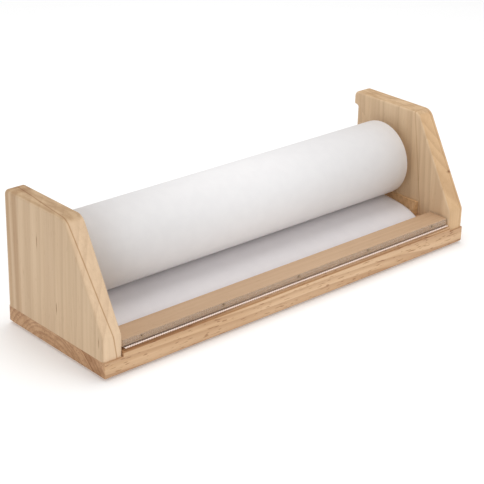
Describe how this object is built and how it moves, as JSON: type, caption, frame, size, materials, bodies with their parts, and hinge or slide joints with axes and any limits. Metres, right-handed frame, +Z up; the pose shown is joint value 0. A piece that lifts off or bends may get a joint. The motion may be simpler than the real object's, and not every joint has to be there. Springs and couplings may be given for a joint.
{
  "type": "paper roll dispenser",
  "caption": "Wooden tabletop paper-roll dispenser: grooved side panels hold a roll on a dowel; the paper runs over the base and under a tear bar with a clear serrated cutter.",
  "frame": {"origin": "centre of the overall box on the plane the rubber pads stand on", "axes": "+X along the roll towards the right end, +Y towards the back, +Z up"},
  "size_m": [0.355, 0.111, 0.1015],
  "materials": {
    "pine": "satin, clear lacquered",
    "pine_bar": "satin, clear lacquered",
    "hardwood": "sanded",
    "paper": "matt",
    "cardboard": "matt",
    "clear_plastic": "clear, smooth",
    "steel": "zinc plated",
    "brass": "plain",
    "rubber": "matt"
  },
  "bodies": {
    "frame": {"base_board": "pine", "left_side_panel": "pine", "right_side_panel": "pine", "corner_block_left": "pine", "corner_block_right": "pine", "tear_bar": "pine_bar", "cutter_strip": "clear_plastic", "cutter_pins": "brass", "panel_screws": "steel", "block_screws": "steel", "panel_dowels": "hardwood", "paper_web": "paper", "pad_front_left": "rubber", "pad_front_right": "rubber", "pad_back_left": "rubber", "pad_back_right": "rubber"},
    "spindle_body": {"spindle": "hardwood"},
    "roll_body": {"core_tube": "cardboard", "paper_roll": "paper"}
  },
  "joints": [
    {"name": "spindle_slide", "type": "slide", "parent": "frame", "child": "spindle_body", "axis": [0, 0.9379, 0.3469], "range_m": [0, 0.056]},
    {"name": "roll_spin", "type": "hinge", "parent": "spindle_body", "child": "roll_body", "pos_m": [0, 0.015, 0.058], "axis": [-1, 0, 0], "continuous": true}
  ]
}
